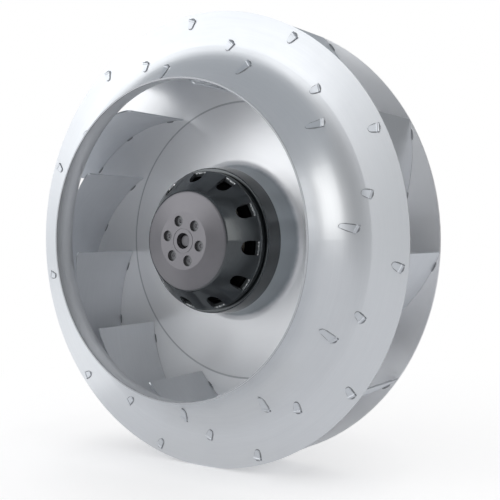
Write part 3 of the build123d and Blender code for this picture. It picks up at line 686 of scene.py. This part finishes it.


# %% [markdown]
# ## Places of the tabs
#
# Six tabs hold each blade: three in the shroud and three in the back plate. The
# blade is bent to one circular arc, so a tab stands where that arc crosses a
# radius, and its tongue is folded towards the arc's centre. The places are worked
# out for the blade whose outer end is at the top. Measuring each place on the CAD
# model would give the same numbers, but not the reason for them. The tongue in the
# throat is longer and leans to one side, because the press follows the curve. On
# the back plate's front only the slot shows, as a narrow opening along the blade.
# A dark bead's section is a low ridge, steep towards the tongue: its points are given in mm, outwards from
# the outline and up from the face.

# %% Arc of the blade
blade_outer_radius, blade_inner_radius = shroud_radius - 1.0 * mm, 152.5 * mm
blade_arc_radius, blade_wrap = 160.0 * mm, radians(41.5)
outer_end = np.array([0.0, blade_outer_radius])
inner_end = blade_inner_radius * np.array([sin(blade_wrap), cos(blade_wrap)])
chord = inner_end - outer_end
half_chord = np.linalg.norm(chord) / 2
square_to_chord = np.array([chord[1], -chord[0]]) / np.linalg.norm(chord)
arc_centre = (outer_end + inner_end) / 2 + square_to_chord * sqrt(blade_arc_radius**2 - half_chord**2)
print("arc's centre:", np.round(arc_centre, 4), " blade's chord:", round(2 * half_chord, 4))


# %% Places on the arc
def tab_place(radius):
    """Place where the arc crosses a radius, and the direction from there to the arc's centre.

    The law of cosines gives the angle at the fan's axis between the arc's centre and
    the place. With the centre's distance from the axis as the reach, its cosine is
    (radius squared + reach squared - arc radius squared) / (2 * radius * reach).
    """
    reach = hypot(*arc_centre)
    swing = acos((radius**2 + reach**2 - blade_arc_radius**2) / (2 * radius * reach))
    angle = atan2(*arc_centre) + swing
    place = radius * np.array([sin(angle), cos(angle)])
    return place, (arc_centre - place) / blade_arc_radius


edge_tab = tab_place(blade_outer_radius - 5.0 * mm)
middle_tab = tab_place(blade_outer_radius - 29.0 * mm)
throat_tab = tab_place(blade_outer_radius - 44.7 * mm)
inner_tab = tab_place(blade_inner_radius + 10.5 * mm)
print("tabs at", [[round(float(part), 4) for part in tab[0]] for tab in (edge_tab, middle_tab, throat_tab)])


# %% Tabs
def tongue(reach, near, far, back=-0.95, half=3.7):
    """Corners of a folded tongue, in mm: the two of its rounded fold, and the two of its tip."""
    return [(back, -half), (reach, near), (reach, far), (back, half)]


plain_tongue = tongue(reach=8.8, near=-2.3, far=2.3)
throat_tongue = tongue(reach=12.8, near=0.6, far=4.2)
slot_outline = [(-1.15, -4.5), (1.15, -4.5), (1.15, 4.5), (-1.15, 4.5)]
shade_bead_section = [(-0.15, -0.3), (-0.1, 0.3), (0.45, 0.42), (1.2, -0.1), (0.5, -0.4)]
print("a tongue reaches", plain_tongue[1][0], "mm, and", throat_tongue[1][0], "mm in the throat")

# %% Beads of painted shade
# Dark grey beads round the tongues and slots: painted shade.
shade_bead_finish = cast_metal("painted_shade_bead", (0.47, 0.475, 0.49), (0.29, 0.295, 0.305))
shroud_tabs = [(*edge_tab, plain_tongue), (*middle_tab, plain_tongue), (*throat_tab, throat_tongue)]
plate_slots = [(*tab, slot_outline) for tab in (edge_tab, middle_tab, inner_tab)]
plate_tabs = [(*tab, plain_tongue) for tab in (edge_tab, middle_tab, inner_tab)]
beads("shroud_tab_shade_beads", shroud_tabs, shade_bead_section, shroud_face, shade_bead_finish)
beads("plate_slot_shade_beads", plate_slots, shade_bead_section, plate_face, shade_bead_finish, count=20)
beads("rear_tab_shade_beads", plate_tabs, shade_bead_section, plate_rear, shade_bead_finish, side=-1.0)

# %% [markdown]
# ## Floor and white surroundings
#
# The photograph has a pure white background and only a soft shadow under the fan.
# The floor is a matt white sheet. Part of its brightness is given by an emission
# that only the camera and mirror reflections see, so it looks white without
# throwing more light on the fan, and the rest is real light, so the shadow stays.
# Close to the wheel's foot nearly all of it is real light. The emission makes up what that light lacks, by:
# share * glow + (1 - share) * lit floor = wanted tone. The wanted tone falls from white to 0.89 within 0.2 m
# of the foot: a painted soft shadow round the wheel.
# The world does the same with its strength: white where it is seen, and dimmer
# where it only lights.


# %% Sheets and seen rays
def flat_sheet(name, corners):
    """Quadrilateral through four corners."""
    mesh = bpy.data.meshes.new(name)
    mesh.from_pydata([tuple(corner) for corner in corners], [], [(0, 1, 2, 3)])
    sheet = bpy.data.objects.new(name, mesh)
    bpy.context.scene.collection.objects.link(sheet)
    return sheet


def level_corners(x_low, x_high, y_low, y_high, height):
    """Corners of a level rectangle, anticlockwise from above."""
    plan = [(x_low, y_low), (x_high, y_low), (x_high, y_high), (x_low, y_high)]
    return [(x, y, height) for x, y in plan]


def seen_rays(tree):
    """1 for rays from the camera, a mirror or glass, and 0 for the others."""
    path = add(tree, "ShaderNodeLightPath")
    first = maths(tree, "MAXIMUM", path.outputs["Is Camera Ray"], path.outputs["Is Glossy Ray"])
    return maths(tree, "MAXIMUM", first, path.outputs["Is Transmission Ray"])


floor_reach = 12.0
floor = flat_sheet("floor", level_corners(-floor_reach, floor_reach, -floor_reach, floor_reach, floor_height))
print("floor:", 2 * floor_reach, "m wide")

# %% Floor finish
floor_finish, tree, shader = new_finish("white_floor")
shader.inputs["Base Color"].default_value = (0.86, 0.86, 0.87, 1.0)
shader.inputs["Roughness"].default_value = 0.9
shader.inputs["Specular IOR Level"].default_value = 0.1

wheel_foot = (0.0, -0.08, floor_height)
lit_floor = 0.64
from_foot = add(tree, "ShaderNodeVectorMath", {0: object_place(tree), 1: wheel_foot}, operation="SUBTRACT")
distance = add(tree, "ShaderNodeVectorMath", {0: from_foot.outputs[0]}, operation="LENGTH").outputs["Value"]
glow_share = spread(tree, distance, 0.15, 0.7, 0.12, 1.0)
# Painted shadow: the tone wanted dims to 0.89 near the wheel's foot.
tone_with_painted_shadow = spread(tree, distance, 0.05, 0.2, 0.89, 1.0)
lit_part = product(tree, maths(tree, "SUBTRACT", 1.0, glow_share), lit_floor)
glow_strength = maths(tree, "DIVIDE", maths(tree, "SUBTRACT", tone_with_painted_shadow, lit_part), glow_share)
glow = add(tree, "ShaderNodeEmission", {0: (1.0, 1.0, 1.0, 1.0), 1: glow_strength})
seen_share = product(tree, seen_rays(tree), glow_share)
mixed = add(tree, "ShaderNodeMixShader", {0: seen_share, 1: shader.outputs[0], 2: glow.outputs[0]})
tree.links.new(mixed.outputs[0], tree.nodes["Material Output"].inputs[0])
floor.data.materials.append(floor_finish)
print("floor finish:", floor_finish.name)

# %% World
lighting_strength, seen_strength = 0.62, 1.0
world = bpy.data.worlds.new("white_studio")
bpy.context.scene.world = world
world.use_nodes = True
tree = world.node_tree
back = tree.nodes["Background"]
back.inputs[0].default_value = (1.0, 1.0, 1.0, 1.0)
tree.links.new(spread(tree, seen_rays(tree), 0.0, 1.0, lighting_strength, seen_strength), back.inputs[1])
print("world:", world.name)

# %% [markdown]
# ## Lamps
#
# Bare metal shows its surroundings, so the studio decides how it looks. Two large
# soft lamps give the white fields on the shroud and in the throat: one in front on
# the left, one on the right. Small lamps would leave hard spots. A lamp is placed
# by its bearing, where 0 is straight in front of the inlet and 90 is on the right,
# and by its rise above the fan's middle. Its power is worked out from the tone that
# a mirror would show of it, which makes lamps and cards comparable.


# %% Places by bearing
def toward(bearing, rise, distance):
    """Point at a bearing and a rise in degrees, and a distance from the origin."""
    angle, climb = radians(bearing), radians(rise)
    level = distance * cos(climb)
    return Vector((level * sin(angle), -level * cos(angle), distance * sin(climb)))


lamp_distance = 2.4
print("a lamp straight in front stands at", [round(v, 2) for v in toward(0.0, 0.0, lamp_distance)])


# %% Lamps
def soft_lamp(name, bearing, rise, width, height, brightness, colour):
    """Rectangular lamp facing the fan. Its power is brightness * pi * width * height."""
    data = bpy.data.lights.new(name, "AREA")
    data.shape = "RECTANGLE"
    data.size = width
    data.size_y = height
    data.energy = brightness * pi * width * height
    data.color = colour
    lamp = bpy.data.objects.new(name, data)
    bpy.context.scene.collection.objects.link(lamp)
    lamp.location = toward(bearing, rise, lamp_distance)
    lamp.rotation_euler = (-lamp.location).to_track_quat("-Z", "Y").to_euler()
    lamp.visible_camera = False
    print(name, "power:", round(data.energy, 1), "W")


soft_lamp("left_lamp", -37.0, 18.0, 2.15, 1.75, 0.98, (1.0, 1.0, 1.0))
soft_lamp("right_lamp", 76.0, 19.0, 2.4, 1.6, 0.97, (1.0, 0.985, 0.95))

# %% [markdown]
# ## Grey cards
#
# Between the lamps the real studio is dim, and the metal shows it as soft greys.
# A photographer hangs cards for that. These cards are seen only by mirror
# reflections and cast no shadow, so they shape the greys and leave the light on
# the fan alone. A ring of upright cards stands round the fan, one lies above it,
# and three lie just over the floor: a wide one, a lighter one at the front left,
# and a slightly darker one under the wheel, where the floor lies in the fan's shade.


# %% Card helper
def grey_card(name, corners, colour, brightness):
    """Card that only mirror reflections see, of an even grey."""
    card = flat_sheet(name, corners)
    finish, tree = new_finish(name)[:2]
    grey = add(tree, "ShaderNodeEmission", {0: (*colour, 1.0), 1: brightness})
    tree.links.new(grey.outputs[0], tree.nodes["Material Output"].inputs[0])
    card.data.materials.append(finish)
    card.visible_camera = False
    card.visible_diffuse = False
    card.visible_shadow = False
    card.visible_transmission = False
    print(name, "brightness:", brightness)


def upright_corners(bearing_low, bearing_high, distance, foot, top):
    """Corners of a vertical rectangle between two bearings, from a height to another."""
    left, right = toward(bearing_low, 0.0, distance), toward(bearing_high, 0.0, distance)
    return [(left.x, left.y, foot), (right.x, right.y, foot), (right.x, right.y, top), (left.x, left.y, top)]


# %% Level cards
card_top = 1.62
card_foot = floor_height + 1 * mm
second_layer = card_foot + 1 * mm
grey_card("card_above", level_corners(-2.3, 2.3, -2.3, 2.3, card_top), (0.92, 1.0, 1.09), 0.33)
grey_card("card_below", level_corners(-2.7, 2.7, -2.7, 2.7, card_foot), (0.975, 1.0, 1.045), 0.58)
grey_card("card_below_left", level_corners(-2.7, -0.3, -2.7, 0.3, second_layer), (0.98, 1.0, 1.02), 1.0)
grey_card("card_under_wheel", level_corners(-0.1, 0.16, -0.17, 0.04, second_layer), (0.98, 1.0, 1.03), 0.55)

# %% Ring of upright cards
ring_distance = 2.9
ring_cards = {
    "card_in_front": (-14.0, 48.0, 0.26),
    "card_right": (48.0, 104.0, 0.5),
    "card_back_right": (104.0, 180.0, 0.18),
    "card_back_left": (180.0, 290.0, 0.5),
    "card_left": (290.0, 346.0, 0.7),
}
for name, (bearing_low, bearing_high, brightness) in ring_cards.items():
    corners = upright_corners(bearing_low, bearing_high, ring_distance, card_foot, card_top)
    grey_card(name, corners, (0.96, 1.0, 1.04), brightness)

# %% [markdown]
# ## Close
#
# The picture is shown without a film look.

# %% Finish
bpy.context.scene.view_settings.view_transform = "Standard"
